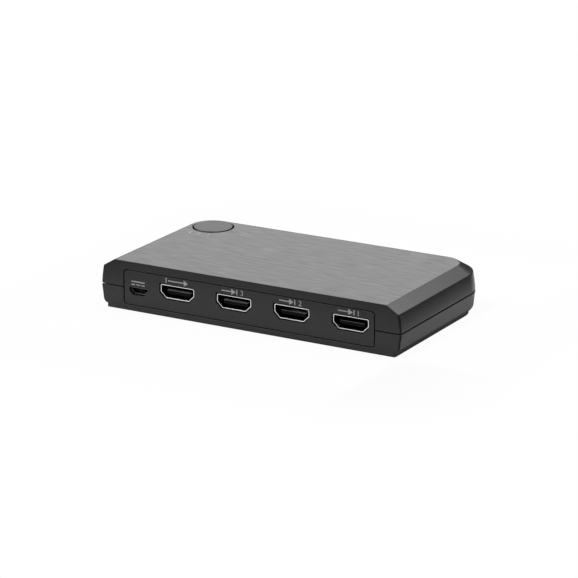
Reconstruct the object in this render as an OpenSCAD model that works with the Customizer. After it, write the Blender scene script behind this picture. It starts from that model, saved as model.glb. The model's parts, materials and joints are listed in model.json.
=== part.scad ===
// Video switch box: three inputs, one output, one select button.
// Millimetres, +Z up, sockets facing -Y, origin on the table under the middle of the case.
// Heights named *_h are measured from the underside of the case, which stands on its feet.

/* [Case] */
// Width of the case across the seam, where it is widest
body_w = 130; // [126:1:150]
// Depth of the case from the socket face to the far side
body_d = 71.5; // [69:0.5:90]
// Height of the case from its underside to the top plate
body_h = 19.5; // [18.5:0.5:26]
// Radius of the two far corners at the seam
corner_r = 15; // [14:0.5:18]
// Thickness of the side and far walls
wall = 2; // [1.6:0.1:2.4]
// Thickness of the wall on the socket side
front_wall = 2; // [1.6:0.1:2.6]
// Thickness of the roof under the top plate
roof_t = 2; // [1.5:0.1:2.5]
// Thickness of the floor
floor_t = 2; // [1.8:0.1:2.6]

/* [Case outline] */
// Height of the seam between the two shells
seam_h = 9; // [8.6:0.1:10.5]
// Shadow gap between the two shells
seam_gap = 0.25; // [0.2:0.05:0.6]
// Bevel on the lower edge of the upper shell
seam_bevel = 0.3; // [0.2:0.1:0.8]
// Height of the sloping shoulder under the top plate
shoulder_h = 3; // [2.4:0.1:3.6]
// Run of the sloping shoulder
shoulder_run = 5; // [4:0.25:5.5]
// How far the shoulder's lower edge lies inside the widest line
ridge_in = 1; // [0.6:0.1:1.5]
// Height of the plinth under the case
plinth_h = 1.6; // [1.4:0.1:2]
// How far the plinth lies inside the widest line
plinth_in = 2.7; // [2.5:0.1:3.6]
// Height at which the rounding above the plinth ends
flare_h = 3.8; // [3.4:0.1:4.6]
// How far the end of that rounding lies inside the widest line
flare_in = 0.6; // [0.5:0.1:1.3]
// Height of the alignment lip above the seam
lip_h = 1.2; // [0.8:0.1:1.6]
// Thickness of the alignment lip
lip_t = 0.85; // [0.6:0.05:1]
// Clearance round the alignment lip
lip_gap = 0.15; // [0.1:0.05:0.25]

/* [Top plate and button] */
// Thickness of the top plate
plate_t = 0.6; // [0.5:0.1:1]
// Thickness of the adhesive film under the plate
film_t = 0.15; // [0.1:0.05:0.25]
// Flat rim of the shell left round the plate
plate_rim = 0.25; // [0.2:0.05:0.5]
// Clearance between the plate and its recess
plate_gap = 0.05; // [0.03:0.01:0.1]
// Strip of plate left between the button's hole and the plate's far edge
button_strip = 0.45; // [0.4:0.05:1]
// How far the button's axis lies in from the axis of the case's corner
button_in = 0.6; // [0:0.1:1]
// Gap round the button
button_gap = 0.6; // [0.4:0.05:0.8]
// How far the button stands proud of the plate
button_proud = 0.3; // [0.2:0.05:0.6]
// Travel of the button
button_travel = 0.3; // [0.2:0.05:0.4]
// Thickness of the button's crown under its disc
button_crown = 1.4; // [1:0.1:1.8]
// Thickness of the button's skirt
button_skirt = 1.2; // [1:0.1:1.6]
// How far the retaining flange reaches out under the roof
flange_out = 1; // [0.8:0.1:1.2]
// Thickness of the retaining flange
flange_t = 1.2; // [1:0.1:1.5]
// Radius of the button's stem
stem_r = 2.2; // [1.8:0.1:2.6]
// Clearance between the retaining flange and its guide
guide_gap = 0.2; // [0.15:0.05:0.3]
// Thickness of the guide collar round the flange
collar_t = 1.2; // [0.8:0.1:1.5]
// Width of the key that stops the button turning
key_w = 1.6; // [1.2:0.1:2.4]

/* [Port panel] */
// Width of the port panel
panel_w = 108.6; // [107:0.2:112]
// Sideways place of the port panel's middle
panel_x = -0.5; // [-1:0.1:0.5]
// Height of the port panel's lower edge
panel_low_h = 2.7; // [2.5:0.1:4]
// Distance of the port panel's upper edge below the top plate's face
panel_drop = 3.5; // [3.4:0.1:4.5]
// How far the port panel's face lies behind the face of the case
panel_set = 0.1; // [0.05:0.05:0.4]
// Groove round the port panel
panel_gap = 0.25; // [0.2:0.05:0.5]
// Corner radius of the port panel
panel_r = 1.2; // [0.8:0.1:2]
// Thickness of the port panel's face
panel_t = 1.6; // [1.2:0.1:2]
// Width of the rim behind the port panel's face
panel_rim = 1.4; // [1:0.1:1.8]
// How far the port panel's ears reach past its window
ear_out = 1.6; // [1.2:0.1:2.2]
// Thickness of the port panel's ears
ear_t = 1; // [0.8:0.1:1.4]
// Clearance between the ears and the wall in front of them
ear_gap = 0.1; // [0.05:0.05:0.2]

/* [Video sockets] */
// Distance of the first video socket's middle from the panel's right end
socket_inset = 9.9; // [9:0.1:12]
// Distance between the power socket and the nearest video socket
power_spacing = 17.4; // [15:0.2:20]
// Outer width of a socket
socket_w = 14.9; // [14.5:0.1:15.4]
// Outer height of a socket
socket_h = 5.3; // [5.1:0.1:5.6]
// Outer width of a socket's lower edge
socket_low_w = 10.2; // [9.8:0.1:10.8]
// Height of a socket's upright sides
socket_side = 3.2; // [2.8:0.1:3.6]
// Inward step below a socket's upright sides
socket_step = 0.55; // [0.3:0.05:0.8]
// Sheet thickness of a socket's shell
socket_wall = 0.4; // [0.3:0.05:0.5]
// Length of a socket's shell
socket_len = 11.5; // [10:0.5:14]
// How far a socket's mouth lies behind the panel's face
socket_recess = 0.5; // [0.2:0.1:0.9]
// Height of a socket's underside above the board
socket_lift = 0.58; // [0.4:0.02:0.8]
// Gap between a socket and its hole in the panel
socket_gap = 0.27; // [0.2:0.01:0.4]
// Width of a socket's tongue
tongue_w = 10.6; // [10.4:0.1:11]
// Thickness of a socket's tongue
tongue_t = 1.7; // [1.5:0.1:1.9]
// Height of the tongue's middle above the socket's underside
tongue_mid = 2.45; // [2.2:0.05:2.7]
// How far the tongue's tip lies behind the socket's mouth
tongue_back = 1.1; // [0.8:0.1:2]
// Contacts on top of the tongue; there is one fewer below
contact_count = 10; // [8:1:10]
// Spacing of the contacts along one side of the tongue
contact_pitch = 1; // [0.9:0.02:1]
// Width of a contact
contact_w = 0.34; // [0.25:0.01:0.38]
// Thickness of a contact
contact_t = 0.15; // [0.1:0.01:0.2]

/* [Power socket] */
// Distance of the power socket's middle from the panel's left end
power_inset = 6.3; // [5.5:0.1:8]
// Outer width of the power socket
power_w = 7.4; // [7:0.1:8]
// Outer height of the power socket
power_h = 2.5; // [2.3:0.1:2.8]
// Outer width of the power socket's lower edge
power_low_w = 4.6; // [4.4:0.1:5.2]
// Height of the power socket's upright sides
power_side = 1.1; // [0.9:0.1:1.4]
// Sheet thickness of the power socket's shell
power_wall = 0.25; // [0.2:0.05:0.35]
// Length of the power socket's shell
power_len = 5; // [4.5:0.5:7]
// How far the power socket's mouth lies behind the panel's face
power_recess = 1.2; // [0.8:0.1:1.5]
// Gap between the power socket and its hole in the panel
power_gap = 0.3; // [0.2:0.05:0.4]

/* [Circuit board] */
// Height of the board's upper face
board_h = 6.75; // [6.5:0.05:7.2]
// Thickness of the board
board_t = 1.6; // [1.2:0.1:1.8]
// Gap between the board's edge and the case
board_gap = 0.8; // [0.5:0.1:1.5]

/* [Tact switch] */
// Side of the switch base
switch_w = 6; // [5.6:0.1:6.6]
// Height of the switch base
switch_h = 3.1; // [2.8:0.1:3.5]
// Height of the plunger's tip above the board
plunger_h = 5; // [4.6:0.1:6]
// Radius of the plunger
plunger_r = 1.7; // [1.4:0.1:1.75]
// Clearance round the plunger
plunger_gap = 0.15; // [0.1:0.05:0.25]
// Radius of the snap dome
dome_r = 2.2; // [2:0.05:2.3]
// Height of the snap dome
dome_h = 0.75; // [0.6:0.05:0.85]
// Sheet thickness of the dome and the cover
switch_sheet = 0.15; // [0.1:0.05:0.25]

/* [Light guide] */
// Height of the three lights on the far side
light_h = 13; // [12.5:0.1:13.5]
// Distance between neighbouring lights
light_pitch = 12.5; // [8:0.5:15]
// Radius of a light
light_r = 1.25; // [1:0.05:1.4]
// Clearance round a light in the wall
light_gap = 0.1; // [0.05:0.05:0.2]

/* [Feet and screws] */
// How far the feet stand out below the case
foot_h = 0.8; // [0.5:0.1:1.5]
// Radius of a foot
foot_r = 4.5; // [3.5:0.1:5]
// Depth of the recess that a foot sits in
foot_recess = 0.6; // [0.4:0.1:0.8]
// Clearance round a foot in its recess
foot_gap = 0.2; // [0.1:0.05:0.3]
// Distance of the feet from the sides of the case
foot_side = 12; // [11:0.5:16]
// Distance of the near feet from the socket face
foot_front = 9; // [7.5:0.5:9.5]
// Distance of the far feet from the far side
foot_back = 13; // [11:0.5:16]
// Radius of a screw's thread
screw_r = 1.15; // [1:0.05:1.3]
// Radius of a screw's head
screw_head_r = 2.1; // [1.9:0.1:2.3]
// Thickness of a screw's head
screw_head_t = 1.5; // [1.2:0.1:1.7]
// Length of a screw under its head
screw_len = 10; // [8:0.5:12]
// Depth of a screw's seat below the case's underside
screw_seat = 2.4; // [2:0.1:2.8]
// Distance of the near screws from the sides of the case
screw_side = 8; // [7.5:0.5:9]
// Distance of the near screws from the socket face
screw_front = 17; // [16.5:0.5:20]
// Distance of the far screws from the far side
screw_back = 11.5; // [10:0.5:13]
// Gap between the button's guide and the post of a far screw
screw_far_gap = 1.8; // [0.5:0.1:4]
// Radius of the posts that take the screws
post_r = 2.9; // [2.7:0.1:3.1]

/* [Hidden] */
$fn = 64;
// Small overlap that joins two shapes, and how far a cut runs past a face
joint = 0.2;
past = 1;
// Running clearance of pieces that are pushed together
fit = 0.05;
// Segments along a bowed wall, along a rounding and on a softened corner
wall_steps = 5;
flare_steps = 5;
soft_steps = 4;

// Corner axes, the socket face and the far side
corner_x = body_w/2 - corner_r;
corner_y = body_d/2 - corner_r;
front_y = -body_d/2;
back_y = body_d/2;

// Outline of the case
ridge_h = body_h - shoulder_h;
plate_edge_r = corner_r - ridge_in - shoulder_run;
upper_h = seam_h + seam_gap;
shoulder_len = sqrt(shoulder_h*shoulder_h + shoulder_run*shoulder_run);
shoulder_inset = wall*shoulder_len/shoulder_h;
roof_h = body_h - plate_t - film_t - roof_t;
ridge_inner_r = corner_r - ridge_in - wall;
ridge_inner_h = body_h - (ridge_inner_r + shoulder_inset - plate_edge_r)*shoulder_h/shoulder_run;
roof_inner_r = plate_edge_r + (body_h - roof_h)*shoulder_run/shoulder_h - shoulder_inset;
lip_r = corner_r - wall;

// Top plate, and the button at its far left corner
button_at = [button_in - corner_x, corner_y];
recess_r = plate_edge_r - plate_rim;
hole_r = recess_r - button_strip;
button_r = hole_r - button_gap;
button_top = body_h + button_proud;
disc_low = button_top - plate_t;
flange_r = hole_r + flange_out;
flange_top = roof_h - fit;
collar_in_r = flange_r + guide_gap;
collar_low = flange_top - flange_t - button_travel - guide_gap;
key_out = collar_t/2;
rib_t = 1;

// Port panel
panel_h = body_h - panel_drop - panel_low_h;
window_w = panel_w + 2*panel_gap;
socket_x = panel_x + panel_w/2 - socket_inset;
power_x = panel_x - panel_w/2 + power_inset;
socket_pitch = (socket_x - power_x - power_spacing)/3;
panel_front = front_y + panel_set;
ear_front = front_y + front_wall + ear_gap;
ear_back = ear_front + ear_t;
ear_w = window_w + 2*ear_out;
ear_stop_w = 1.5;
ear_lip_gap = 1;

// Board and sockets
board_low = board_h - board_t;
board_r = corner_r - flare_in - wall - board_gap;
board_ear_gap = 0.3;
board_front = ear_back + board_ear_gap;
socket_low = board_h + socket_lift;
socket_front = front_y + socket_recess;
socket_back = socket_front + socket_len;
socket_soft = 0.35;
insulator_gap = 0.1;
insulator_tail = 1.2;
insulator_depth = 3.6;
insulator_back = socket_back + insulator_tail;
tongue_low = tongue_mid - tongue_t/2;
tongue_top = tongue_mid + tongue_t/2;
contact_back = 0.6;
tail_len = 0.8;
leg_w = 1.3;
leg_below = 0.8;
leg_places = [5.2, 9.6];
slot_gap = 0.15;
power_front = front_y + power_recess;
power_back = power_front + power_len;
power_soft = 0.3;
power_block = 1.6;
power_tongue_w = 3.7;
power_tongue_t = 0.6;
power_tongue_back = 0.6;
power_tongue_drop = 0.45;
power_tongue_low = power_h - power_wall - power_tongue_drop - power_tongue_t;
power_contact_back = 0.9;
power_contact_pitch = 0.65;

// Tact switch
pocket_depth = 1.5;
pocket_h = switch_h - pocket_depth;
plunger_flange_r = dome_r;
plunger_flange_low = pocket_h + dome_h + fit;
cover_t = 2*switch_sheet;
cover_hole_r = plunger_r + plunger_gap;
terminal_w = 0.7;
terminal_rise = 1.2;
terminal_out = 1.4;
terminal_y = switch_w/2 - terminal_w;

// Screws and feet, as [x, y]
near_screw = [body_w/2 - screw_side, front_y + screw_front];
far_screw = [-button_at[0] - collar_in_r - collar_t - screw_far_gap - post_r, back_y - screw_back];
near_foot = [body_w/2 - foot_side, front_y + foot_front];
far_foot = [body_w/2 - foot_side, back_y - foot_back];
pilot_r = screw_r + fit;
cross_w = 0.6;
cross_depth = 0.9;
board_rests = [[-24, 2], [24, 2]];
board_rest_r = 1.9;

// Small parts on the board: sizes, and places as [x, y] from the middle of the case
chip_size = [9, 9, 0.9];
chip_at = [socket_x - 1.5*socket_pitch, 2];
controller_size = [8.7, 3.9, 1.4];
controller_lift = 0.1;
controller_at = [26 - corner_x, 12];
controller_leads_n = 7;
lead_pitch = 1.27;
lead_size = [0.4, 0.2, 0.8];
lead_out = 1;
crystal_size = [5, 3.2, 1.1];
crystal_at = [28 - corner_x, -2];
regulator_size = [6.5, 3.5, 1.6];
regulator_at = [-corner_x, -10];
regulator_tab = [3, 1.7, 0.25];
regulator_lead = [0.7, 1.7, 0.25];
regulator_pitch = 2.3;
bulk_r = 3.15;
bulk_h = 5.4;
bulk_base = [6.6, 6.6, 0.8];
bulk_at = [[9 - corner_x, -6], [9 - corner_x, 3]];
bead_size = [3.2, 1.6, 1.1];
bead_at = [power_x, power_back + 6.8];
array_size = [2.5, 1, 0.6];
ceramic_size = [1.6, 0.8, 0.8];
resistor_size = [1.6, 0.8, 0.45];
array_y = insulator_back + 4;
ceramic_y = insulator_back + 6.5;
resistor_y = insulator_back + 9;
pair_x = 2.6;
small_pitch = 2.4;
ceramic_reach = chip_size[1]/2 + 2;
led_size = [2, 1.25, 0.8];
led_inset = 2.2;
light_y = corner_y + board_r - led_inset;
light_gap_above = 0.25;
guide_bar = 1.6;

// Radius of the bowed upper wall about the corner axis at height z
function bow_r(z) = corner_r - ridge_in*pow((z - seam_h)/(ridge_h - seam_h), 2);

// Evenly spaced values from a to b
function steps(a, b, n) = [for (i = [0:n]) a + (b - a)*i/n];

// Outline of the upper shell, as [distance from the corner axis, height]
function upper_outline() = concat(
  [[0, upper_h], [bow_r(upper_h + seam_bevel) - seam_bevel, upper_h]],
  [for (z = steps(upper_h + seam_bevel, ridge_h, wall_steps)) [bow_r(z), z]],
  [[plate_edge_r, body_h], [0, body_h]]
);

// Outline of the space inside the upper shell
function upper_space() = [
  [0, upper_h - past], [lip_r, upper_h - past], [lip_r, upper_h],
  [ridge_inner_r, ridge_inner_h], [roof_inner_r, roof_h], [0, roof_h]
];

// Outline of the lower shell
function lower_outline() = concat(
  [[0, 0], [corner_r - plinth_in, 0]],
  [for (a = steps(0, 90, flare_steps)) [
    corner_r - plinth_in + (plinth_in - flare_in)*sin(a),
    plinth_h + (flare_h - plinth_h)*(1 - cos(a))
  ]],
  [[corner_r, seam_h], [0, seam_h]]
);

// Outline of the space inside the lower shell
function lower_space() = [
  [0, floor_t], [corner_r - plinth_in - wall, floor_t],
  [corner_r - flare_in - wall, flare_h], [lip_r, seam_h], [lip_r, seam_h + past], [0, seam_h + past]
];

// A rectangle's outline, from two corners
function box_outline(x0, z0, x1, z1) = [[x0, z0], [x1, z0], [x1, z1], [x0, z1]];

function unit(v) = v/norm(v);

// Eases one corner of an outline, starting the curve a distance r before it
function soft_corner(a, p, b, r) =
  let (s = p + unit(a - p)*r, e = p + unit(b - p)*r)
  [for (i = [0:soft_steps]) let (u = i/soft_steps) (1 - u)*(1 - u)*s + 2*u*(1 - u)*p + u*u*e];

// Eases every corner of an outline
function soften(pts, r) =
  let (n = len(pts))
  [for (i = [0:n - 1]) each soft_corner(pts[(i + n - 1) % n], pts[i], pts[(i + 1) % n], r)];

// Outward normal of the edge from a to b of an outline that runs anticlockwise
function edge_normal(a, b) = unit([b[1] - a[1], a[0] - b[0]]);

// Moves every edge of an outline outwards by g
function grow(pts, g) =
  let (n = len(pts))
  [for (i = [0:n - 1])
    let (p = edge_normal(pts[(i + n - 1) % n], pts[i]), q = edge_normal(pts[i], pts[(i + 1) % n]))
    pts[i] + g*(p + q)/(1 + p*q)];

// Outline of a video socket, grown by g, with its underside at height 0
function socket_outline(g) =
  let (w = socket_w/2, low = socket_low_w/2, side = socket_h - socket_side, inner = w - socket_step)
  soften(grow([
    [-low, 0], [low, 0], [inner, side - socket_step/2], [w, side],
    [w, socket_h], [-w, socket_h], [-w, side], [-inner, side - socket_step/2]
  ], g), socket_soft);

// Outline of the power socket, grown by g, with its underside at height 0
function power_outline(g) =
  let (w = power_w/2, low = power_low_w/2, side = power_h - power_side)
  soften(grow([[-low, 0], [low, 0], [w, side], [w, power_h], [-w, power_h], [-w, side]], g), power_soft);

// Sweeps an outline from from_y along both sides, round the far corners and along the far side,
// and fills the middle where the outline starts on the corner axis
module sweep(outline, from_y) {
  run = corner_y - from_y;
  low = outline[0][1];
  high = outline[len(outline) - 1][1];
  for (s = [0, 1]) mirror([s, 0, 0]) translate([corner_x, corner_y, 0]) {
    rotate_extrude(angle = 90) polygon(outline);
    rotate([90, 0, 0]) linear_extrude(run) polygon(outline);
  }
  translate([-corner_x, corner_y, 0]) rotate([90, 0, 90]) linear_extrude(2*corner_x) polygon(outline);
  if (outline[0][0] == 0)
    translate([-corner_x, from_y, low]) cube([2*corner_x, run, high - low]);
}

// Flat plan outline of radius r about the far corner axes, with its near edge at near_y
module plan(r, near_y) {
  translate([-corner_x - r, near_y]) square([2*(corner_x + r), corner_y - near_y]);
  translate([-corner_x, near_y]) square([2*corner_x, corner_y + r - near_y]);
  for (s = [-1, 1]) translate([s*corner_x, corner_y]) circle(r);
}

// Slab of that outline between two heights
module plan_slab(r, near_y, low, high) {
  translate([0, 0, low]) linear_extrude(high - low) plan(r, near_y);
}

// Upright rounded plate seen from the socket side, between two depths
module face_plate(w, low, high, r, y0, y1) {
  translate([panel_x, y1, 0]) rotate([90, 0, 0]) linear_extrude(y1 - y0) {
    translate([-w/2 + r, low]) square([w - 2*r, high - low]);
    translate([-w/2, low + r]) square([w, high - low - 2*r]);
    for (x = [r - w/2, w/2 - r], z = [low + r, high - r]) translate([x, z]) circle(r);
  }
}

// Upright extrusion of an outline between two depths
module upright(outline, y0, y1) {
  translate([0, y1, 0]) rotate([90, 0, 0]) linear_extrude(y1 - y0) polygon(outline);
}

// Lifts what follows onto the feet
module on_feet() {
  translate([0, 0, foot_h]) children();
}

// Puts what follows on the board's upper face
module on_board(at) {
  translate([at[0], at[1], foot_h + board_h]) children();
}

// Repeats what follows at both near and both far places
module at_four(near, far) {
  for (p = [near, far], s = [-1, 1]) translate([s*p[0], p[1], 0]) children();
}

// Puts what follows on the axis of the button
module at_button() {
  translate([button_at[0], button_at[1], 0]) children();
}

// Sideways place of video socket i, counted from the right
function socket_place(i) = socket_x - i*socket_pitch;

// Puts what follows at video socket i
module at_socket(i) {
  translate([socket_place(i), 0, foot_h + socket_low]) children();
}

// Window for the port panel, cut through the wall on the socket side
module panel_window() {
  face_plate(window_w, panel_low_h - panel_gap, panel_low_h + panel_h + panel_gap,
    panel_r + panel_gap, front_y - past, front_y + front_wall + past);
}

module top_shell() {
  color("#26272a") on_feet() difference() {
    union() {
      difference() {
        sweep(upper_outline(), front_y);
        sweep(upper_space(), front_y + front_wall);
        sweep(box_outline(lip_r - past, upper_h - past, lip_r + lip_t + lip_gap, seam_h + lip_h + lip_gap),
          front_y + front_wall);
      }
      at_four(near_screw, far_screw) translate([0, 0, board_h])
        cylinder(r = post_r, h = roof_h - board_h + joint);
      at_button() translate([0, 0, collar_low])
        cylinder(r = collar_in_r + collar_t, h = roof_h - collar_low + joint);
    }
    plan_slab(recess_r, front_y + plate_rim, body_h - plate_t - film_t, body_h + past);
    at_button() {
      translate([0, 0, collar_low - past]) cylinder(r = hole_r, h = body_h - collar_low + 2*past);
      translate([0, 0, collar_low - past]) cylinder(r = collar_in_r, h = roof_h - collar_low + past);
      translate([0, -key_w/2 - guide_gap, collar_low - past])
        cube([collar_in_r + collar_t + past, key_w + 2*guide_gap, roof_h - collar_low + past]);
    }
    at_four(near_screw, far_screw) translate([0, 0, board_h - past])
      cylinder(r = pilot_r, h = screw_seat + screw_len + past - board_h + past);
    for (i = [-1:1]) translate([i*light_pitch, corner_y, light_h])
      rotate([-90, 0, 0]) cylinder(r = light_r + light_gap, h = corner_r + past);
    panel_window();
  }
}

module bottom_shell() {
  lip_from = front_y + front_wall;
  lip_out = corner_x + lip_r + lip_t/2;
  color("#2a2b2e") on_feet() difference() {
    union() {
      difference() {
        sweep(lower_outline(), front_y);
        sweep(lower_space(), lip_from);
      }
      sweep(box_outline(lip_r, seam_h - joint, lip_r + lip_t, seam_h + lip_h), lip_from + lip_t);
      for (s = [0, 1]) mirror([s, 0, 0]) {
        lip_in = ear_w/2 + ear_lip_gap + (s == 0 ? panel_x : -panel_x);
        translate([lip_in, lip_from, seam_h - lip_h]) cube([lip_out - lip_in, lip_t, 2*lip_h]);
      }
      at_four(near_screw, far_screw) translate([0, 0, floor_t - joint])
        cylinder(r = post_r, h = board_low - floor_t + joint);
      for (p = board_rests) translate([p[0], p[1], floor_t - joint])
        cylinder(r = board_rest_r, h = board_low - floor_t + joint);
      for (s = [-1, 1])
        translate([panel_x + s*(ear_w - ear_stop_w)/2 - ear_stop_w/2, ear_back + fit, floor_t - joint])
          cube([ear_stop_w, ear_stop_w, board_low - floor_t - joint]);
    }
    at_four(near_screw, far_screw) translate([0, 0, -past]) {
      cylinder(r = screw_head_r + foot_gap, h = screw_seat + past);
      cylinder(r = screw_r + foot_gap, h = board_h + past);
    }
    at_four(near_foot, far_foot) translate([0, 0, -past])
      cylinder(r = foot_r + foot_gap, h = foot_recess + past);
    panel_window();
  }
}

module top_plate() {
  color("#8f8f90") on_feet() difference() {
    plan_slab(recess_r - plate_gap, front_y + plate_rim + plate_gap, body_h - plate_t, body_h);
    at_button() cylinder(r = hole_r, h = body_h + past);
  }
}

module plate_film() {
  color("#d8d2c4") on_feet() difference() {
    plan_slab(recess_r - button_strip/2, front_y + plate_rim + button_strip/2, body_h - plate_t - film_t,
      body_h - plate_t);
    at_button() cylinder(r = hole_r, h = body_h + past);
  }
}

module port_panel() {
  top_h = panel_low_h + panel_h;
  pocket_w = panel_w - 2*panel_rim;
  color("#242528") on_feet() difference() {
    union() {
      face_plate(panel_w, panel_low_h, top_h, panel_r, panel_front, ear_back);
      face_plate(ear_w, floor_t, roof_h - ear_gap, panel_r, ear_front, ear_back);
    }
    face_plate(pocket_w, panel_low_h + panel_rim, top_h - panel_rim, panel_r,
      panel_front + panel_t, ear_back + past);
    for (i = [0:3]) translate([socket_place(i), 0, socket_low])
      upright(socket_outline(socket_gap), front_y - past, ear_back + past);
    translate([power_x, 0, board_h]) upright(power_outline(power_gap), front_y - past, ear_back + past);
  }
}

module select_button() {
  skirt_low = flange_top - flange_t;
  core_r = button_r - button_skirt;
  crown_low = disc_low - button_crown;
  tip_h = board_h + plunger_h;
  color("#333436") on_feet() at_button() {
    difference() {
      union() {
        translate([0, 0, skirt_low]) cylinder(r = button_r - fit, h = disc_low - skirt_low);
        translate([0, 0, skirt_low]) cylinder(r = flange_r, h = flange_t);
        translate([0, -key_w/2, skirt_low]) cube([collar_in_r + key_out, key_w, flange_t]);
      }
      translate([0, 0, skirt_low - past]) cylinder(r = core_r, h = crown_low - skirt_low + past);
    }
    translate([0, 0, tip_h]) cylinder(r = stem_r, h = crown_low - tip_h + joint);
    for (a = [0:90:270]) rotate(a) translate([0, -rib_t/2, skirt_low])
      cube([core_r + joint, rib_t, crown_low - skirt_low + joint]);
  }
}

module button_disc() {
  color("#868687") on_feet() at_button() translate([0, 0, disc_low]) cylinder(r = button_r, h = plate_t);
}

module circuit_board() {
  color("#1f5a3a") on_feet() difference() {
    plan_slab(board_r, board_front, board_low, board_h);
    at_four(near_screw, far_screw) cylinder(r = screw_r + foot_gap, h = board_h + past);
    for (i = [0:3], s = [-1, 1], y = leg_places)
      translate([socket_place(i) + s*(socket_w - socket_wall)/2, socket_front + y, board_h])
        cube([socket_wall + 2*slot_gap, leg_w + 2*slot_gap, 3*board_t], center = true);
  }
}

// One video socket's folded metal shell with its four board legs
module video_shell() {
  leg_top = socket_h - socket_side + joint;
  leg_low = board_low - leg_below - socket_low;
  color("#cfd0d2") {
    difference() {
      upright(socket_outline(0), socket_front, socket_back);
      upright(socket_outline(-socket_wall), socket_front - past, socket_back + past);
    }
    for (s = [-1, 1], y = leg_places)
      translate([s*(socket_w - socket_wall)/2 - socket_wall/2, socket_front + y - leg_w/2, leg_low])
        cube([socket_wall, leg_w, leg_top - leg_low]);
  }
}

// One video socket's insulator: the rear block, the foot behind it and the tongue
module video_insulator() {
  block_front = socket_back - insulator_depth;
  foot_w = socket_low_w;
  color("#18191b") difference() {
    union() {
      upright(socket_outline(-socket_wall - insulator_gap), block_front, insulator_back);
      translate([-foot_w/2, socket_back + fit, -socket_lift])
        cube([foot_w, insulator_tail - fit, tongue_mid]);
      translate([-tongue_w/2, socket_front + tongue_back, tongue_low])
        cube([tongue_w, block_front + joint - socket_front - tongue_back, tongue_t]);
    }
    contact_rows(fit, block_front - past);
  }
}

// The straight runs of one socket's contacts, grown by g, from start_y to behind the insulator
module contact_rows(g, start_y) {
  for (row = [0, 1]) {
    n = contact_count - row;
    z = row == 0 ? tongue_top : tongue_low - contact_t;
    for (i = [0:n - 1]) translate([(i - (n - 1)/2)*contact_pitch - contact_w/2 - g, start_y, z - g])
      cube([contact_w + 2*g, insulator_back + contact_t + fit - start_y, contact_t + 2*g]);
  }
}

// One video socket's contacts, each running back along the tongue and down to the board
module video_contacts() {
  tail_y = insulator_back + fit;
  color("#c9a54a") {
    contact_rows(0, socket_front + tongue_back + contact_back);
    for (row = [0, 1]) {
      n = contact_count - row;
      z = row == 0 ? tongue_top : tongue_low - contact_t;
      for (i = [0:n - 1]) translate([(i - (n - 1)/2)*contact_pitch - contact_w/2, tail_y, -socket_lift]) {
        cube([contact_w, contact_t, z + contact_t + socket_lift]);
        cube([contact_w, tail_len, contact_t]);
      }
    }
  }
}

module power_shell() {
  color("#b9babc") on_board([power_x, 0]) difference() {
    upright(power_outline(0), power_front, power_back);
    upright(power_outline(-power_wall), power_front - past, power_back + past);
  }
}

module power_insulator() {
  block_front = power_back - power_block;
  tip_y = power_front + power_tongue_back;
  color("#18191b") on_board([power_x, 0]) difference() {
    union() {
      upright(power_outline(-power_wall - insulator_gap), block_front, power_back);
      translate([-power_tongue_w/2, tip_y, power_tongue_low])
        cube([power_tongue_w, block_front + joint - tip_y, power_tongue_t]);
    }
    power_contact_rows(fit, block_front - past);
  }
}

// The straight runs of the power socket's contacts, grown by g, from start_y to behind the socket
module power_contact_rows(g, start_y) {
  low = power_tongue_low - contact_t;
  for (i = [-2:2]) translate([i*power_contact_pitch - contact_w/2 - g, start_y, low - g])
    cube([contact_w + 2*g, power_back + contact_t + fit - start_y, contact_t + 2*g]);
}

module power_contacts() {
  color("#c9a54a") on_board([power_x, 0]) {
    power_contact_rows(0, power_front + power_contact_back);
    for (i = [-2:2]) translate([i*power_contact_pitch - contact_w/2, power_back + fit, 0]) {
      cube([contact_w, contact_t, power_tongue_low]);
      cube([contact_w, tail_len, contact_t]);
    }
  }
}

// Puts what follows on the board under the button
module at_switch() {
  on_board(button_at) children();
}

module switch_base() {
  color("#1c1d1f") at_switch() difference() {
    translate([-switch_w/2, -switch_w/2, 0]) cube([switch_w, switch_w, switch_h]);
    translate([0, 0, pocket_h]) cylinder(r = dome_r + plunger_gap, h = switch_h);
  }
}

module switch_terminals() {
  color("#c4c5c7") at_switch() for (side = [0, 1], s = [-1, 1]) mirror([side, 0, 0])
    translate([switch_w/2, s*terminal_y - terminal_w/2, 0]) {
      cube([switch_sheet, terminal_w, terminal_rise]);
      cube([terminal_out, terminal_w, switch_sheet]);
    }
}

// Height of the snap dome's upper face at distance r from its axis, above the pocket's floor
function dome_z(r) = switch_sheet + (dome_h - switch_sheet)*(1 - pow(r/dome_r, 2));

module switch_dome() {
  rings = steps(0, dome_r, flare_steps);
  color("#d9dadc") at_switch() translate([0, 0, pocket_h]) rotate_extrude() polygon(concat(
    [for (r = rings) [r, dome_z(r)]],
    [for (i = [flare_steps:-1:0]) [rings[i], dome_z(rings[i]) - switch_sheet]]
  ));
}

module switch_plunger() {
  flange_high = switch_h - fit;
  color("#2d2e31") at_switch() translate([0, 0, plunger_flange_low]) {
    cylinder(r = plunger_flange_r, h = flange_high - plunger_flange_low);
    cylinder(r = plunger_r, h = plunger_h - plunger_flange_low);
  }
}

// A block that stands on the board, centred on its place
module block(size) {
  translate([-size[0]/2, -size[1]/2, 0]) cube(size);
}

module switch_cover() {
  color("#c4c5c7") at_switch() difference() {
    translate([0, 0, switch_h]) block([switch_w, switch_w, cover_t]);
    cylinder(r = cover_hole_r, h = plunger_h);
  }
}

module selector_chip() {
  color("#1b1c1e") on_board(chip_at) block(chip_size);
}

module surge_arrays() {
  color("#202124") for (i = [0:3], s = [-1, 1])
    on_board([socket_place(i) + s*pair_x, array_y]) block(array_size);
}

module controller_chip() {
  color("#1b1c1e") on_board(controller_at) translate([0, 0, controller_lift]) block(controller_size);
}

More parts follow.
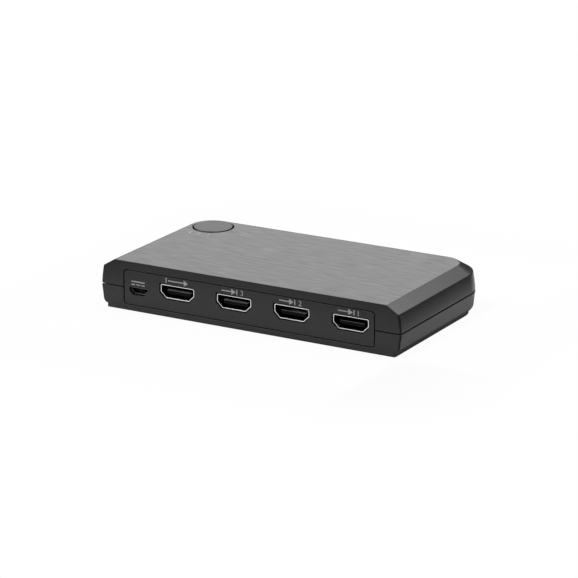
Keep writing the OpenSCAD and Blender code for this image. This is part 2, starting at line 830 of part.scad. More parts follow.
module controller_leads() {
  half = controller_size[1]/2;
  first = -(controller_leads_n - 1)/2*lead_pitch - lead_size[0]/2;
  color("#c4c5c7") on_board(controller_at) for (s = [0, 1], i = [0:controller_leads_n - 1])
    mirror([0, s, 0]) translate([first + i*lead_pitch, half, 0]) {
      cube(lead_size);
      cube([lead_size[0], lead_out, lead_size[1]]);
    }
}

module regulator() {
  color("#1b1c1e") on_board(regulator_at) block(regulator_size);
}

module regulator_leads() {
  half = regulator_size[1]/2;
  color("#c4c5c7") on_board(regulator_at) {
    translate([0, half + regulator_tab[1]/2, 0]) block(regulator_tab);
    for (i = [-1:1]) translate([i*regulator_pitch, -half - regulator_lead[1]/2, 0]) block(regulator_lead);
  }
}

module crystal() {
  color("#c9cacc") on_board(crystal_at) block(crystal_size);
}

module bulk_capacitors() {
  color("#b4b6ba") for (p = bulk_at) on_board(p) {
    block(bulk_base);
    cylinder(r = bulk_r, h = bulk_h);
  }
}

module ceramic_capacitors() {
  color("#b08d57") {
    on_board(chip_at) for (a = [0:90:270], k = [-1.5:1.5]) rotate(a)
      translate([k*small_pitch, ceramic_reach, 0]) block(ceramic_size);
    for (i = [0:3], s = [-1, 1]) on_board([socket_place(i) + s*pair_x, ceramic_y]) block(ceramic_size);
  }
}

module resistors() {
  color("#2b2b2e") for (i = [0:3], k = [-1.5:1.5])
    on_board([socket_place(i) + k*small_pitch, resistor_y]) block(resistor_size);
}

module ferrite_bead() {
  color("#4a4a4c") on_board(bead_at) block(bead_size);
}

module indicator_lights() {
  color("#f2f0e2") for (i = [-1:1]) on_board([i*light_pitch, light_y]) block(led_size);
}

// Clear guide: three upright legs over the lights, joined by a bar, each with a rod to the far side
module light_guide() {
  leg_low = board_h + led_size[2] + light_gap_above;
  rod_end = corner_y + bow_r(light_h + light_r) - light_y;
  color("#dfe8ee", 0.8) on_feet() translate([0, light_y, 0]) {
    for (i = [-1:1]) translate([i*light_pitch, 0, 0]) {
      translate([0, 0, leg_low]) block([2*light_r, 2*light_r, light_h + light_r - leg_low]);
      translate([0, 0, light_h]) rotate([-90, 0, 0]) cylinder(r = light_r, h = rod_end);
    }
    translate([0, 0, light_h - light_r - guide_bar]) block([2*light_pitch, guide_bar, guide_bar]);
  }
}

module case_screws() {
  color("#a7a8ab") on_feet() at_four(near_screw, far_screw) difference() {
    union() {
      translate([0, 0, screw_seat - screw_head_t]) cylinder(r = screw_head_r, h = screw_head_t);
      translate([0, 0, screw_seat - joint]) cylinder(r = screw_r, h = screw_len + joint);
    }
    for (a = [0, 90]) rotate(a) translate([0, 0, screw_seat - screw_head_t - past])
      block([2*screw_r, cross_w, past + cross_depth]);
  }
}

module rubber_feet() {
  edge = foot_h/2;
  high = foot_h + foot_recess;
  color("#1d1d1e") at_four(near_foot, far_foot)
    rotate_extrude() polygon([[0, 0], [foot_r - edge, 0], [foot_r, edge], [foot_r, high], [0, high]]);
}

top_shell();
bottom_shell();
top_plate();
plate_film();
port_panel();
select_button();
button_disc();
circuit_board();
at_socket(0) video_shell();  // video_shell_1
at_socket(1) video_shell();  // video_shell_2
at_socket(2) video_shell();  // video_shell_3
at_socket(3) video_shell();  // video_shell_out
at_socket(0) video_insulator();  // video_insulator_1
at_socket(1) video_insulator();  // video_insulator_2
at_socket(2) video_insulator();  // video_insulator_3
at_socket(3) video_insulator();  // video_insulator_out
at_socket(0) video_contacts();  // video_contacts_1
at_socket(1) video_contacts();  // video_contacts_2
at_socket(2) video_contacts();  // video_contacts_3
at_socket(3) video_contacts();  // video_contacts_out
power_shell();
power_insulator();
power_contacts();
switch_base();
switch_terminals();
switch_dome();
switch_plunger();
switch_cover();
selector_chip();
surge_arrays();
controller_chip();
controller_leads();
regulator();
regulator_leads();
crystal();
bulk_capacitors();
ceramic_capacitors();
resistors();
ferrite_bead();
indicator_lights();
light_guide();
case_screws();
rubber_feet();
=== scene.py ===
# %% [markdown]
# # A three-into-one video switch box
# The object is a low dark box. Two moulded shells meet at a seam, a brushed plate is let into the top,
# a round button sits in one far corner, and a fascia holds four plated video sockets and a small power
# socket. The solid model comes with its sizes and joints. This lesson dresses it: the pieces whose
# edges catch the light are rebuilt with soft edges, and every other piece gets a finish of its own.

# %% Load the frame
import json
import math
from types import SimpleNamespace

import bmesh
import bpy
import numpy as np
from mathutils import Matrix, Vector


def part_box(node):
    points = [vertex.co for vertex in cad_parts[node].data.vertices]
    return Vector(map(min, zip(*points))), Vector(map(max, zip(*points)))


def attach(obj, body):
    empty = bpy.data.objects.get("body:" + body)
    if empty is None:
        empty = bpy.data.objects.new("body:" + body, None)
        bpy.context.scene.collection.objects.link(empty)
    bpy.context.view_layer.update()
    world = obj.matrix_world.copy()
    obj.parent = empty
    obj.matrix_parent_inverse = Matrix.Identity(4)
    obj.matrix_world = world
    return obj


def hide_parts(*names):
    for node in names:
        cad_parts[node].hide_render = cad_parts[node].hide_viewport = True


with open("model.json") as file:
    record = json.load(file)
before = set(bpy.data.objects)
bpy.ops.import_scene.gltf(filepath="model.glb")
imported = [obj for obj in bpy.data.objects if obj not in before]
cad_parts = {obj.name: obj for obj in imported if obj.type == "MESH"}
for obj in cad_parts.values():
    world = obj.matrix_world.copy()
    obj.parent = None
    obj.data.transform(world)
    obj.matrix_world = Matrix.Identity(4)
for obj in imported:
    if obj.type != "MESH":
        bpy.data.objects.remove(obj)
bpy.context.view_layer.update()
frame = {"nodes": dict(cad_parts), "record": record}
scene = bpy.context.scene
MM = 0.001


def box_mm(node):
    """The lowest and highest corner of a solid, in millimetres."""
    low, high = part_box(node)
    return np.array(low) / MM, np.array(high) / MM


# %% [markdown]
# ## The camera
# The picture was taken from well above table height, with little perspective: near and far edges are
# almost parallel. A long lens from about a metre away gives that. The place and the three angles come
# from matching the box's straight edges, so they are kept as they were found.

# %% Place the camera
image_px = 578
focal_px = 2961.9
yaw, pitch, roll = 30.14, 17.32, -0.18
camera_at = Vector((542.57, -939.20, 345.95)) * MM


def add_object(name, data):
    """A new object in the scene, with its data."""
    obj = bpy.data.objects.new(name, data)
    scene.collection.objects.link(obj)
    return obj


camera = add_object("camera", bpy.data.cameras.new("camera"))
camera.data.lens = camera.data.sensor_width * focal_px / image_px
aim = Matrix.Rotation(math.radians(yaw), 4, "Z") @ Matrix.Rotation(math.radians(90 - pitch), 4, "X")
camera.matrix_world = Matrix.Translation(camera_at) @ aim @ Matrix.Rotation(math.radians(roll), 4, "Z")
scene.camera = camera
print("lens", round(camera.data.lens, 1), "mm")

# %% [markdown]
# ## Small helpers for nodes
# Materials and node groups are trees of nodes. Building them by hand takes three lines for each node,
# so one function adds a node and fills its inputs: a number or a colour is set, and an output of
# another node is linked.


# %% Node helpers
def feed(tree, socket, value):
    """Link an output to a socket, or set the socket to a value."""
    if isinstance(value, bpy.types.NodeSocket):
        tree.links.new(value, socket)
    else:
        socket.default_value = value


def put(tree, kind, inputs, **settings):
    """Add one node to a tree; an input is a value, or an output to link from."""
    node = tree.nodes.new(kind)
    for key, value in settings.items():
        setattr(node, key, value)
    for key, value in inputs.items():
        feed(tree, node.inputs[key], value)
    return node


def calc(tree, operation, a, b):
    """A Math node's result."""
    return put(tree, "ShaderNodeMath", {0: a, 1: b}, operation=operation).outputs[0]


def between(tree, factor, low, high):
    """A value that runs from low to high as the factor runs from 0 to 1."""
    return put(tree, "ShaderNodeMapRange", {"Value": factor, "To Min": low, "To Max": high}).outputs[0]


def blend(tree, factor, a, b):
    """A colour between two colours."""
    return put(tree, "ShaderNodeMix", {0: factor, 6: (*a, 1), 7: (*b, 1)}, data_type="RGBA").outputs[2]


def start_material(name):
    """A new material with its Principled shader, and the place on the piece in Object coordinates."""
    material = bpy.data.materials.new(name)
    material.use_nodes = True
    tree = material.node_tree
    place = put(tree, "ShaderNodeTexCoord", {}).outputs["Object"]
    return material, tree, tree.nodes["Principled BSDF"], place


def wire(tree, shader, **sockets):
    """Link or set a shader's sockets; an underscore in a name stands for a space."""
    for key, value in sockets.items():
        feed(tree, shader.inputs[key.replace("_", " ")], value)


# %% [markdown]
# ## The studio
# The box stands on a white sheet under soft boxes. The satin walls mirror what is round them: the pale
# sheet low down and the dark room above it, which is why the wall under the seam is lighter than the
# wall over it. So the floor's colour is painted: white near the box and dark further out, a painted pool
# of light, with a narrow strip of painted shadow where the box stands and a patch of painted shade by
# the near right corner, to darken an edge. All three are soft rectangles in the floor's colour. A camera
# ray sees almost pure white, and the small rest is the plain diffuse floor, which keeps the soft shadow.

# %% Floor
scene.view_settings.view_transform = "Standard"
floor_half = 6.0
# Painted pool of light: the floor's colour is white near the box and dark further out.
painted_pool_middle, painted_pool_half, painted_pool_fades = (0.0, 0.014, 0.0), (0.064, 0.071, 0.0), 0.065
# Painted shadow: a narrow darker strip in the floor's colour where the box stands.
painted_shadow_middle, painted_shadow_half, painted_shadow_fades = (0.0, 0.006, 0.0), (0.0635, 0.036, 0.0), 0.0045
# Painted shade: a dark patch in the floor's colour by the near right corner, to darken that edge.
painted_shade_patch_middle, painted_shade_patch_half, painted_shade_patch_fades = (0.102, -0.073, 0.0), (0.035, 0.035, 0.0), 0.006
painted_pool_white, beyond_painted_pool_white, painted_shadow_white, painted_shade_patch_white = 0.9, 0.05, 0.22, 0.06
seen_near, seen_far = 0.965, 1.0

corners = [(u * floor_half, v * floor_half, 0) for u, v in ((-1, -1), (1, -1), (1, 1), (-1, 1))]
floor_mesh = bpy.data.meshes.new("floor")
floor_mesh.from_pydata(corners, [], [(0, 1, 2, 3)])
floor = add_object("floor", floor_mesh)

paper, tree, shader, place = start_material("white_sheet")


def beyond(middle, half, fades):
    """How far a place is outside a rectangle: 0 inside it and 1 past the fading distance."""
    chain = place
    steps = (("SUBTRACT", middle), ("ABSOLUTE", middle), ("SUBTRACT", half), ("MAXIMUM", (0, 0, 0)))
    for operation, value in steps:
        chain = put(tree, "ShaderNodeVectorMath", {0: chain, 1: value}, operation=operation).outputs[0]
    away = put(tree, "ShaderNodeVectorMath", {0: chain}, operation="LENGTH").outputs["Value"]
    ramp = put(tree, "ShaderNodeMapRange", {"Value": away, "From Max": fades},
               interpolation_type="SMOOTHSTEP")
    return ramp.outputs[0]


off_painted_pool = beyond(painted_pool_middle, painted_pool_half, painted_pool_fades)
off_painted_shadow = beyond(painted_shadow_middle, painted_shadow_half, painted_shadow_fades)
off_painted_shade_patch = beyond(painted_shade_patch_middle, painted_shade_patch_half, painted_shade_patch_fades)
ray = put(tree, "ShaderNodeLightPath", {}).outputs
seen_white = calc(tree, "MULTIPLY", ray["Is Camera Ray"], between(tree, off_painted_pool, seen_near, seen_far))
# The painted shadow and the painted shade patch both darken the floor's colour.
dark = calc(tree, "MULTIPLY", between(tree, off_painted_shadow, painted_shadow_white, 1.0),
            between(tree, off_painted_shade_patch, painted_shade_patch_white, 1.0))
# The floor's colour: the painted pool of light, darkened by the painted shadow and the painted shade.
white = calc(tree, "MULTIPLY", between(tree, off_painted_pool, painted_pool_white, beyond_painted_pool_white), dark)
grey = put(tree, "ShaderNodeCombineColor", {0: white, 1: white, 2: white}).outputs[0]
sheet = put(tree, "ShaderNodeBsdfDiffuse", {"Color": grey})
glow = put(tree, "ShaderNodeEmission", {"Color": (1, 1, 1, 1), "Strength": 1.0})
mixed = put(tree, "ShaderNodeMixShader", {0: seen_white, 1: sheet.outputs[0], 2: glow.outputs[0]})
tree.links.new(mixed.outputs[0], tree.nodes["Material Output"].inputs["Surface"])
tree.nodes.remove(shader)
floor_mesh.materials.append(paper)
print("floor", 2 * floor_half, "m wide")


# %% Lamps
def soft_box(name, azimuth, elevation, away, size, radiance):
    """A rectangular lamp that faces the box; radiance 1 is the brightness of a white sheet."""
    lamp = bpy.data.lights.new(name, "AREA")
    lamp.shape = "RECTANGLE"
    lamp.size, lamp.size_y = size
    lamp.energy = radiance * math.pi * size[0] * size[1]
    obj = add_object(name, lamp)
    turned = Matrix.Rotation(math.radians(azimuth), 4, "Z")
    raised = Matrix.Rotation(math.radians(-elevation), 4, "Y")
    obj.location = away * (turned @ raised @ Vector((1, 0, 0)))
    obj.rotation_euler = obj.location.to_track_quat("Z", "Y").to_euler()
    obj.visible_camera = False


soft_box("rear_left_box", 126, 20, 1.0, (0.6, 0.4), 1.24)
soft_box("rear_top_box", 65, 62, 1.0, (1.0, 1.0), 1.38)
soft_box("right_top_box", 20, 65, 1.0, (0.9, 0.9), 1.20)
soft_box("rear_small_box", 70, 45, 0.6, (0.3, 0.3), 1.30)
soft_box("near_left_box", -145, 30, 0.8, (1.0, 0.7), 1.80)
soft_box("near_right_box", 45, 40, 0.25, (0.12, 0.12), 1.20)
soft_box("front_left_box", -122, 34, 1.0, (0.5, 0.5), 1.20)
soft_box("front_right_box", -45, 20, 1.2, (1.0, 0.5), 0.80)

room_grey = 0.060
world = bpy.data.worlds.new("room")
world.use_nodes = True
world.node_tree.nodes["Background"].inputs["Color"].default_value = (room_grey, room_grey, room_grey, 1)
scene.world = world

# %% [markdown]
# ## Two textures that several finishes share
# Moulded plastic takes a fine grain from a spark-eroded mould, and its gloss varies a little from place
# to place. Brushed metal has long thin scratches that all run one way. Each is a shader node group, so
# every plastic and every metal can use it with its own sizes. Noise does both: even for the grain, and
# stretched along one axis for the scratches.


# %% Shader groups
def node_group(name, kind, inputs, outputs):
    """A node group with named sockets, each given as a type, or as a number that it starts from."""
    tree = bpy.data.node_groups.new(name, kind)
    for in_out, sockets in (("INPUT", inputs), ("OUTPUT", outputs)):
        for label, given in sockets.items():
            sort = given if isinstance(given, str) else "Float"
            socket = tree.interface.new_socket(label, in_out=in_out, socket_type="NodeSocket" + sort)
            if sort != given:
                socket.default_value = given
    return tree, tree.nodes.new("NodeGroupInput").outputs, tree.nodes.new("NodeGroupOutput").inputs


mould_texture, given, result = node_group(
    "mould_texture", "ShaderNodeTree", {"Vector": "Vector", "Grain mm": 0.15, "Patch mm": 12.0},
    {"Height": "Float", "Patch": "Float"})
tree = mould_texture
for label, size, detail in (("Height", "Grain mm", 2.0), ("Patch", "Patch mm", 3.0)):
    scale = calc(tree, "DIVIDE", 1 / MM, given[size])
    noise = put(tree, "ShaderNodeTexNoise",
                {"Vector": given["Vector"], "Scale": scale, "Detail": detail})
    tree.links.new(noise.outputs[0], result[label])

brush_lines, given, result = node_group(
    "brush_lines", "ShaderNodeTree",
    {"Vector": "Vector", "Length mm": 14.0, "Width mm": 0.14, "Streak": 6.0},
    {"Height": "Float", "Streaks": "Float"})
tree = brush_lines
along = calc(tree, "DIVIDE", 1 / MM, given["Length mm"])
across = calc(tree, "DIVIDE", 1 / MM, given["Width mm"])
for label, widen in (("Height", 1.0), ("Streaks", given["Streak"])):
    narrow = calc(tree, "DIVIDE", across, widen)
    stretch = put(tree, "ShaderNodeCombineXYZ", {0: along, 1: narrow, 2: narrow}).outputs[0]
    spot = put(tree, "ShaderNodeVectorMath", {0: given["Vector"], 1: stretch},
               operation="MULTIPLY").outputs[0]
    noise = put(tree, "ShaderNodeTexNoise", {"Vector": spot, "Scale": 1.0, "Detail": 3.0})
    tree.links.new(noise.outputs[0], result[label])
print("groups:", [g.name for g in bpy.data.node_groups])

# %% [markdown]
# ## The finishes
# A finish is a short function that returns a material. The plastics differ in colour, gloss and grain;
# the metals in colour and in how they were worked. Colours are written as the light they send back, so
# a very dark grey is about 0.02 and the anodised plate about 0.3.

# %% Plastic and metal
patchy = 0.1
noise_low, noise_high = 0.3, 0.7


def scaled(colour, factor):
    """A colour made a little darker or lighter."""
    return tuple(min(c * factor, 1.0) for c in colour)


def plastic(name, colour, roughness, grain=0.15, depth=0.002, uneven=0.04, gloss=0.5):
    """Moulded plastic with a fine grain and faintly uneven gloss."""
    material, tree, shader, place = start_material(name)
    texture = put(tree, "ShaderNodeGroup", {"Vector": place, "Grain mm": grain},
                  node_tree=mould_texture).outputs
    bump = put(tree, "ShaderNodeBump", {"Height": texture["Height"], "Distance": depth * MM})
    shade = blend(tree, texture["Patch"], scaled(colour, 1 - patchy), scaled(colour, 1 + patchy))
    wire(tree, shader, Base_Color=shade, Normal=bump.outputs["Normal"], Specular_IOR_Level=gloss,
         Roughness=between(tree, texture["Patch"], roughness - uneven, roughness + uneven))
    return material


def metal(name, colour, roughness, length=14.0, width=0.14, depth=0.004, contrast=0.08, uneven=0.06):
    """Metal worked in one direction: scratches in its surface, and streaks in its shade and gloss."""
    material, tree, shader, place = start_material(name)
    lines = put(tree, "ShaderNodeGroup", {"Vector": place, "Length mm": length, "Width mm": width},
                node_tree=brush_lines).outputs
    bump = put(tree, "ShaderNodeBump", {"Height": lines["Height"], "Distance": depth * MM})
    spread = {"Value": lines["Streaks"], "From Min": noise_low, "From Max": noise_high}
    streaks = put(tree, "ShaderNodeMapRange", spread).outputs[0]
    shade = blend(tree, streaks, scaled(colour, 1 - contrast), scaled(colour, 1 + contrast))
    wire(tree, shader, Base_Color=shade, Metallic=1.0, Normal=bump.outputs["Normal"],
         Roughness=between(tree, lines["Height"], roughness - uneven, roughness + uneven))
    return material


# %% Finishes of the pieces in view
dark_satin = (0.0185, 0.0189, 0.0197)
brushed = {"length": 9.0, "width": 0.17}
rolled = {"length": 3.0, "width": 0.3, "depth": 0.001, "contrast": 0.04}
stamped = {"length": 2.0, "width": 0.2, "depth": 0.0008, "contrast": 0.04}
inked = {"grain": 0.05, "depth": 0.0005}
matt = {"grain": 0.08, "gloss": 0.05}

case_finish = plastic("case_satin", dark_satin, 0.32)
panel_finish = plastic("panel_satin", dark_satin, 0.34)
button_finish = plastic("button_satin", (0.022, 0.022, 0.023), 0.45)
plate_finish = metal("plate_brushed", (0.292, 0.292, 0.295), 0.42, contrast=0.19, **brushed)
disc_finish = metal("disc_brushed", (0.190, 0.190, 0.193), 0.42, contrast=0.09, **brushed)
plated_finish = metal("nickel_plate", (0.96, 0.96, 0.95), 0.20, **rolled)
dull_finish = metal("dull_plate", (0.20, 0.20, 0.20), 0.50, **rolled)
gold_finish = metal("gold_flash", (0.12, 0.116, 0.108), 0.42, **stamped)
insulator_finish = plastic("insulator_matt", (0.009, 0.009, 0.009), 0.5, **matt)
rubber_finish = plastic("foot_rubber", (0.014, 0.014, 0.014), 0.75, grain=0.25, depth=0.01)
screw_finish = metal("zinc_plate", (0.42, 0.42, 0.43), 0.32, length=1.0, width=0.2, depth=0.001)
ink_finish = plastic("grey_ink", (0.40, 0.40, 0.41), 0.6, **inked)
pale_finish = plastic("pale_ink", (0.66, 0.66, 0.66), 0.6, **inked)
print("finishes so far:", len(bpy.data.materials))

# %% [markdown]
# ## Meshes from rings
# Most moulded pieces can be read as a stack of outlines: at each height, or at each depth behind the
# socket face, the piece has one closed outline. Joining neighbouring outlines with quads gives a clean
# mesh with true round edges, which a bevel on a cut-up mesh seldom does. Holes are then cut with a
# Boolean modifier, and face-weighted normals keep the flat faces flat beside their rounded edges.

# %% Mesh helpers
sharp_angle = math.radians(28)


def loft(rings, ends=True):
    """Join equal rings with quads; each end gets a face, or else the last ring meets the first."""
    count, size = len(rings), len(rings[0])
    faces = []
    for i in range(count - 1 if ends else count):
        a, b = i * size, (i + 1) % count * size
        faces += [(a + j, a + (j + 1) % size, b + (j + 1) % size, b + j) for j in range(size)]
    if ends:
        faces += [tuple(reversed(range(size))), tuple(range((count - 1) * size, count * size))]
    return np.concatenate(rings), faces


def make_object(name, shape):
    """An object from points in millimetres and faces, with its faces turned outwards."""
    points, faces = shape
    mesh = bpy.data.meshes.new(name)
    mesh.from_pydata((np.asarray(points) * MM).tolist(), [], faces)
    shell = bmesh.new()
    shell.from_mesh(mesh)
    bmesh.ops.remove_doubles(shell, verts=shell.verts, dist=1e-4 * MM)
    bmesh.ops.recalc_face_normals(shell, faces=shell.faces)
    shell.to_mesh(mesh)
    shell.free()
    return add_object(name, mesh)


def plain_mesh(obj):
    """The mesh that an object comes to, with its modifiers or as text."""
    bpy.context.view_layer.update()
    return bpy.data.meshes.new_from_object(obj.evaluated_get(bpy.context.evaluated_depsgraph_get()))


def settle(obj):
    """Give an object the plain mesh that its modifiers make."""
    mesh = plain_mesh(obj)
    obj.modifiers.clear()
    obj.data = mesh


def combine(obj, shapes, operation="DIFFERENCE"):
    """Cut shapes out of an object, or join them to it."""
    tools = [make_object("tool", shape) for shape in shapes]
    for tool in tools:
        step = obj.modifiers.new("combine", "BOOLEAN")
        step.operation, step.solver, step.object = operation, "MANIFOLD", tool
    settle(obj)
    for tool in tools:
        bpy.data.objects.remove(tool)


def dress(obj, material, slot, *nodes, body="case"):
    """Finish a piece: smooth faces, sharp edges, its material, its body and what it replaces."""
    obj.data.shade_smooth()
    obj.data.set_sharp_from_angle(angle=sharp_angle)
    obj.modifiers.new("flat faces stay flat", "WEIGHTED_NORMAL").keep_sharp = True
    settle(obj)
    obj.data.materials.clear()
    obj.data.materials.append(material)
    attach(obj, body)
    if nodes:
        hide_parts(*nodes)
    print(obj.name, len(obj.data.polygons), "faces")


# %% Outline helpers
def arc(middle, radius, start, stop, steps):
    """Points on an arc, with its angles in degrees."""
    turn = np.radians(np.linspace(start, stop, steps + 1))
    return np.column_stack([middle[0] + radius * np.cos(turn), middle[1] + radius * np.sin(turn)])


def round_over(radius, steps=4):
    """Depth below a face and inset from its side, down a rounded edge."""
    turn = np.linspace(0, math.pi / 2, steps + 1)
    return [(radius * (1 - math.cos(t)), radius * (1 - math.sin(t))) for t in turn]


def eased(points, radii, steps=4):
    """An open outline whose listed corners are turned into arcs."""
    points = np.asarray(points, float)
    out = []
    for i, p in enumerate(points):
        if i not in radii:
            out.append(p)
            continue
        a = (points[i - 1] - p) / np.linalg.norm(points[i - 1] - p)
        b = (points[i + 1] - p) / np.linalg.norm(points[i + 1] - p)
        half = math.acos(np.dot(a, b)) / 2
        reach = radii[i] / math.tan(half)
        middle = p + (a + b) / np.linalg.norm(a + b) * radii[i] / math.sin(half)
        u, w = p + a * reach - middle, p + b * reach - middle
        sweep = math.pi - 2 * half
        for f in np.linspace(0, 1, steps + 1):
            swung = math.sin((1 - f) * sweep) * u + math.sin(f * sweep) * w
            out.append(middle + swung / math.sin(sweep))
    return np.array(out)


# %% [markdown]
# ## The case
# Both shells share one plan: a flat socket side, straight sides and two round far corners. Over the
# height only the radius of the far corners changes, and the straight sides follow it: the plinth is
# narrow, the lower wall flares out to the seam, the upper wall leans in to a ridge, and the shoulders
# slope up to the plate. So a shell is a stack of plan outlines, one for each height of its profile.

# %% Sizes of the case
case_low, case_high = box_mm("bottom_shell")
top_z = box_mm("top_shell")[1][2]
base_z = case_low[2]
front_y = case_low[1]
corner_r = 15.0
corner_x = case_high[0] - corner_r
corner_y = case_high[1] - corner_r
body_h = top_z - base_z
wall = 2.0
seam_h, seam_gap = 8.87, 0.36
upper_h = seam_h + seam_gap
ridge_h, ridge_in, shoulder_run = body_h - 3.0, 1.0, 5.0
edge_r = corner_r - ridge_in - shoulder_run
plinth_r, plinth_h = corner_r - 2.45, 1.6
flare_r, flare_h = corner_r - 0.6, 3.8
lip_r, lip_t, lip_gap, lip_h = corner_r - wall, 0.85, 0.15, 1.2
plate_rim, front_rim, plate_gap, plate_t, film_t = 0.25, 0.12, 0.05, 0.6, 0.15
roof_h = body_h - plate_t - film_t - wall
right_edge, left_edge = 0.65, 0.2
disc_low, disc_high = box_mm("button_disc")
button_at = (disc_low[:2] + disc_high[:2]) / 2
hole_in, liner_t = 0.45, 0.13
recess_r = edge_r - plate_rim
hole_r = recess_r - hole_in
liner_r = hole_r + liner_t
print("case", np.round(case_high - case_low, 2), "seam at", round(base_z + seam_h, 2))

# %% Outlines and blocks
past, overlap = 1.0, 0.1


def plan_ring(height, radius, front):
    """The case's outline at one height, from its near right edge round to its near left edge."""
    side = corner_x + radius
    xy = np.concatenate([arc((side - right_edge, front + right_edge), right_edge, -90, 0, 4),
                         arc((corner_x, corner_y), radius, 0, 90, 24),
                         arc((-corner_x, corner_y), radius, 90, 180, 24),
                         arc((left_edge - side, front + left_edge), left_edge, 180, 270, 4)])
    return np.column_stack([xy, np.full(len(xy), base_z + height)])


def plan_solid(radius, front, low, high):
    """A straight-sided block with the case's plan."""
    return loft([plan_ring(low, radius, front), plan_ring(high, radius, front)])


def lathe(profile, middle, steps=96):
    """Turn (radius, height) points about an upright axis."""
    turn = np.arange(steps) * 2 * math.pi / steps
    return loft([np.column_stack([middle[0] + r * np.cos(turn), middle[1] + r * np.sin(turn),
                                  np.full(steps, base_z + h)]) for r, h in profile])


def rod(radius, low, high, middle, steps=32):
    """An upright cylinder."""
    return lathe([(radius, low), (radius, high)], middle, steps)


def block(low, high):
    """A box between two corners, with heights from the underside of the case."""
    (x0, y0, z0), (x1, y1, z1) = low, high
    plan = [(x0, y0), (x1, y0), (x1, y1), (x0, y1)]
    return loft([np.array([(x, y, base_z + z) for x, y in plan]) for z in (z0, z1)])


def behind_face(xz, depth):
    """Points drawn on the socket face, at a depth behind it."""
    return np.column_stack([xz[:, 0], np.full(len(xz), front_y + depth), base_z + xz[:, 1]])


def face_ring(depth, box, radius, grow=0.0, steps=6):
    """A rounded rectangle parallel to the socket face, at a depth behind it."""
    x0, z0, x1, z1 = np.array(box) + grow * np.array([-1, -1, 1, 1])
    r = radius + grow
    middles = ((x1 - r, z0 + r), (x1 - r, z1 - r), (x0 + r, z1 - r), (x0 + r, z0 + r))
    xz = np.concatenate([arc(middle, r, 90 * i - 90, 90 * i, steps) for i, middle in enumerate(middles)])
    return behind_face(xz, depth)


# %% The window for the fascia
panel_x, panel_w, panel_low, panel_high, panel_r = -0.5, 108.6, 2.6, 15.9, 1.2
panel_gap, panel_set, window_round = 0.36, 0.1, 0.15
panel_box = (panel_x - panel_w / 2, panel_low, panel_x + panel_w / 2, panel_high)


def window():
    """The cut for the fascia, flared so that it leaves a rounded edge at the face."""
    flare = [face_ring(d, panel_box, panel_r, panel_gap + g) for d, g in round_over(window_round)]
    return loft([face_ring(-past, panel_box, panel_r, panel_gap + window_round), *flare,
                 face_ring(wall + lip_t + overlap, panel_box, panel_r, panel_gap)])


print("window", round(panel_w + 2 * panel_gap, 2), "mm wide")

# %% [markdown]
# ### Lower shell
# The lower shell starts on its inset plinth, swells out in a quarter round and runs up straight to the
# seam. Behind the seam a thin lip stands up; the upper shell fits round it, so no light shines through
# the joint. The floor has pockets for four feet and four screws.

# %% Make the lower shell
near_screw, far_screw = (57.0, -18.75), (34.0, 24.25)
near_foot, far_foot = (53.0, -26.75), (53.0, 22.75)
board_rests, rest_r = [(-24.0, 2.0), (24.0, 2.0)], 1.9
floor_t, post_r, foot_r, foot_recess = 2.0, 2.9, 4.5, 0.6
pocket_gap, pocket_edge = 0.2, 0.15
screw_r, screw_head_r, screw_seat, screw_len = 1.15, 2.1, 2.4, 10.0
board_low, board_top = [corner[2] - base_z for corner in box_mm("circuit_board")]
low_edge, seam_edge = 0.06, 0.12
swell_in, swell_up = 0.5, 0.6


def four(near, far):
    """The four places of a fixing that the case has on both sides."""
    return [(s * p[0], p[1]) for p in (near, far) for s in (-1, 1)]


turn = np.linspace(0, math.pi / 2, 9)
flare = np.column_stack([plinth_r + (flare_r - plinth_r) * np.sin(turn),
                         plinth_h + (flare_h - plinth_h) * (1 - np.cos(turn))])
rings = [plan_ring(d, plinth_r - g, front_y + g) for d, g in round_over(low_edge)]
rings += [plan_ring(h, r, front_y) for r, h in flare]
rings += [plan_ring(seam_h - d, corner_r - g, front_y + g) for d, g in reversed(round_over(seam_edge))]
rings += [plan_ring(h, lip_r + lip_t, front_y + wall) for h in (seam_h, seam_h + lip_h)]
lower = make_object("lower_case", loft(rings))

inner = [(floor_t, plinth_r - wall), (plinth_h + wall, plinth_r - swell_in),
         (flare_h + swell_up, flare_r - wall), (seam_h, lip_r), (seam_h + lip_h + past, lip_r)]
combine(lower, [loft([plan_ring(h, r, front_y + wall + lip_t) for h, r in inner]), window()])

# %% Add its posts and cut its pockets
screws, feet = four(near_screw, far_screw), four(near_foot, far_foot)
posts = [rod(post_r, floor_t - overlap, board_low, p) for p in screws]
rests = [rod(rest_r, floor_t - overlap, board_low, p) for p in board_rests]
combine(lower, posts + rests, "UNION")
head_r, shaft_r = screw_head_r + pocket_gap, screw_r + pocket_gap
sunk = [(head_r + pocket_edge, -past), (head_r + pocket_edge, 0), (head_r, pocket_edge),
        (head_r, screw_seat), (shaft_r, screw_seat), (shaft_r, seam_h)]
combine(lower, [lathe(sunk, p, 48) for p in screws])
combine(lower, [rod(foot_r + pocket_gap, -past, foot_recess, p, 64) for p in feet])
dress(lower, case_finish, "case_plastic", "bottom_shell")

# %% [markdown]
# ### Upper shell
# The upper wall leans in, so it mirrors the room instead of the sheet and looks darker. Its lowest edge
# is a narrow bead that faces down a little, so it mirrors the sheet: a bright line above the dark seam.
# The ridge and the edge round the plate are slightly rounded, as any moulded edge is.

# %% Make the upper shell
ridge_edge, plate_edge = 0.5, 0.3
bead_in, bead_h, bevel, bead_low_r, bead_high_r = 0.13, 0.45, 0.16, 0.15, 0.3
lean, belly = 0.4, 0.6
front_drop, front_back = 0.2, 0.08
front_edge = [(front_drop * d, front_back * g) for d, g in round_over(1.0)]
seam_round = round_over(seam_edge)
bend_h, bend_in, roof_in = 14.6, 0.6, 0.2


